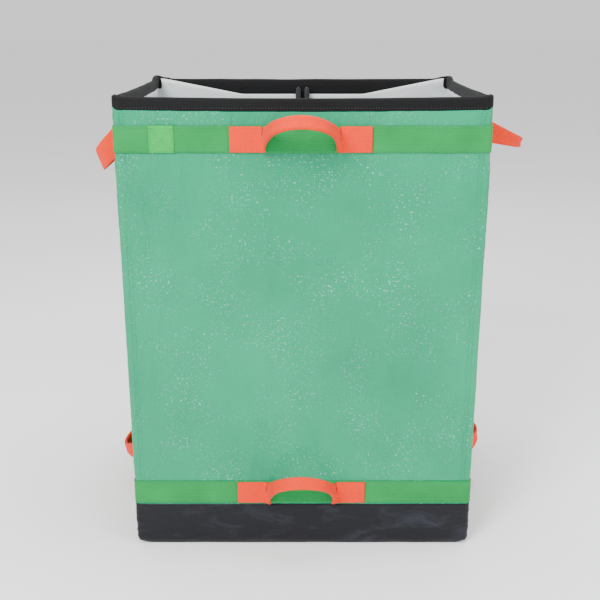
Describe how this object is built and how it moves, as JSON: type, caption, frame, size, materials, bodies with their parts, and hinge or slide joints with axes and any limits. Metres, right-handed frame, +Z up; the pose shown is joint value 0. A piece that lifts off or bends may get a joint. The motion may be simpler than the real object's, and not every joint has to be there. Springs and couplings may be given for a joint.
{
  "type": "collapsible storage crate",
  "caption": "Tall open-topped storage crate of woven plastic over stiff boards, with webbing loop handles, a black foot band and folding side walls.",
  "frame": {"origin": "middle of the crate's footprint, on the surface it stands on", "axes": "+Z up, -Y the front wall, +X the right-hand side seen from the front"},
  "size_m": [0.5926, 0.4608, 0.6],
  "materials": {
    "woven_skin": "laminated woven tape, glossy",
    "foot_fabric": "coated tarpaulin, satin",
    "hem_tape": "folded woven tape, matt",
    "band_webbing": "flat woven webbing",
    "handle_webbing": "flat woven webbing",
    "lining": "thin coated lining, satin",
    "board": "twin-wall plastic sheet",
    "buckle_plastic": "moulded, satin"
  },
  "bodies": {
    "front_wall": {"front_board": "board", "front_skin": "woven_skin", "front_lining": "lining", "front_returns": "woven_skin", "front_skirt": "foot_fabric", "front_hem": "hem_tape", "front_bands": "band_webbing", "front_handle_tabs": "handle_webbing"},
    "left_front_half": {"left_front_board": "board", "left_front_skin": "woven_skin", "left_front_skirt": "foot_fabric", "left_front_lining": "lining", "left_front_hem": "hem_tape", "left_front_bands": "band_webbing", "left_front_handle_tabs": "handle_webbing", "left_front_grips": "handle_webbing"},
    "left_rear_half": {"left_rear_board": "board", "left_rear_skin": "woven_skin", "left_rear_skirt": "foot_fabric", "left_rear_lining": "lining", "left_rear_hem": "hem_tape", "left_rear_bands": "band_webbing", "left_rear_handle_tabs": "handle_webbing", "left_rear_grips": "handle_webbing"},
    "back_wall": {"back_board": "board", "back_skin": "woven_skin", "back_lining": "lining", "back_returns": "woven_skin", "back_skirt": "foot_fabric", "back_hem": "hem_tape", "back_bands": "band_webbing", "back_handle_tabs": "handle_webbing", "clip_tab": "hem_tape"},
    "right_front_half": {"right_front_board": "board", "right_front_skin": "woven_skin", "right_front_skirt": "foot_fabric", "right_front_lining": "lining", "right_front_hem": "hem_tape", "right_front_bands": "band_webbing", "right_front_handle_tabs": "handle_webbing", "right_front_grips": "handle_webbing"},
    "right_rear_half": {"right_rear_board": "board", "right_rear_skin": "woven_skin", "right_rear_skirt": "foot_fabric", "right_rear_lining": "lining", "right_rear_hem": "hem_tape", "right_rear_bands": "band_webbing", "right_rear_handle_tabs": "handle_webbing", "right_rear_grips": "handle_webbing"},
    "floor_panel": {"floor_cover": "foot_fabric", "floor_board": "board", "floor_lining": "lining"},
    "front_top_loop": {"front_top_handle": "handle_webbing"},
    "front_low_loop": {"front_low_handle": "handle_webbing"},
    "back_top_loop": {"back_top_handle": "handle_webbing"},
    "back_low_loop": {"back_low_handle": "handle_webbing"},
    "buckle": {"closure_buckle": "buckle_plastic"}
  },
  "joints": [
    {"name": "left_front_fold", "type": "hinge", "parent": "front_wall", "child": "left_front_half", "pos_m": [-0.225, -0.146, 0], "axis": [0, 0, -1], "range_deg": [0, 90], "deforming": ["left_front_grips", "left_rear_grips", "right_front_grips", "right_rear_grips"]},
    {"name": "left_rear_fold", "type": "hinge", "parent": "left_front_half", "child": "left_rear_half", "pos_m": [-0.229, 0.0045, 0], "axis": [0, 0, 1], "range_deg": [0, 180]},
    {"name": "back_fold", "type": "hinge", "parent": "left_rear_half", "child": "back_wall", "pos_m": [-0.225, 0.155, 0], "axis": [0, 0, -1], "range_deg": [0, 90]},
    {"name": "right_front_fold", "type": "hinge", "parent": "front_wall", "child": "right_front_half", "pos_m": [0.225, -0.146, 0], "axis": [0, 0, 1], "range_deg": [0, 90]},
    {"name": "right_rear_fold", "type": "hinge", "parent": "right_front_half", "child": "right_rear_half", "pos_m": [0.229, 0.0045, 0], "axis": [0, 0, -1], "range_deg": [0, 180]},
    {"name": "floor_fold", "type": "hinge", "parent": "front_wall", "child": "floor_panel", "pos_m": [0, -0.1565, 0.004], "axis": [1, 0, 0], "range_deg": [0, 90]},
    {"name": "front_top_swing", "type": "hinge", "parent": "front_wall", "child": "front_top_loop", "pos_m": [0, -0.18, 0.55], "axis": [-1, 0, 0], "range_deg": [-110, 55]},
    {"name": "front_low_swing", "type": "hinge", "parent": "front_wall", "child": "front_low_loop", "pos_m": [0, -0.18, 0.08], "axis": [-1, 0, 0], "range_deg": [-110, 55]},
    {"name": "back_top_swing", "type": "hinge", "parent": "back_wall", "child": "back_top_loop", "pos_m": [0, 0.18, 0.55], "axis": [1, 0, 0], "range_deg": [-110, 55]},
    {"name": "back_low_swing", "type": "hinge", "parent": "back_wall", "child": "back_low_loop", "pos_m": [0, 0.18, 0.08], "axis": [1, 0, 0], "range_deg": [-110, 55]},
    {"name": "buckle_swing", "type": "hinge", "parent": "back_wall", "child": "buckle", "pos_m": [0, 0.157, 0.576], "axis": [-1, 0, 0], "range_deg": [0, 25]}
  ],
  "couplings": [
    {"joint": "left_rear_fold", "follows": "left_front_fold", "ratio": 2},
    {"joint": "back_fold", "follows": "left_front_fold", "ratio": 1},
    {"joint": "right_front_fold", "follows": "left_front_fold", "ratio": 1},
    {"joint": "right_rear_fold", "follows": "left_front_fold", "ratio": 2}
  ]
}
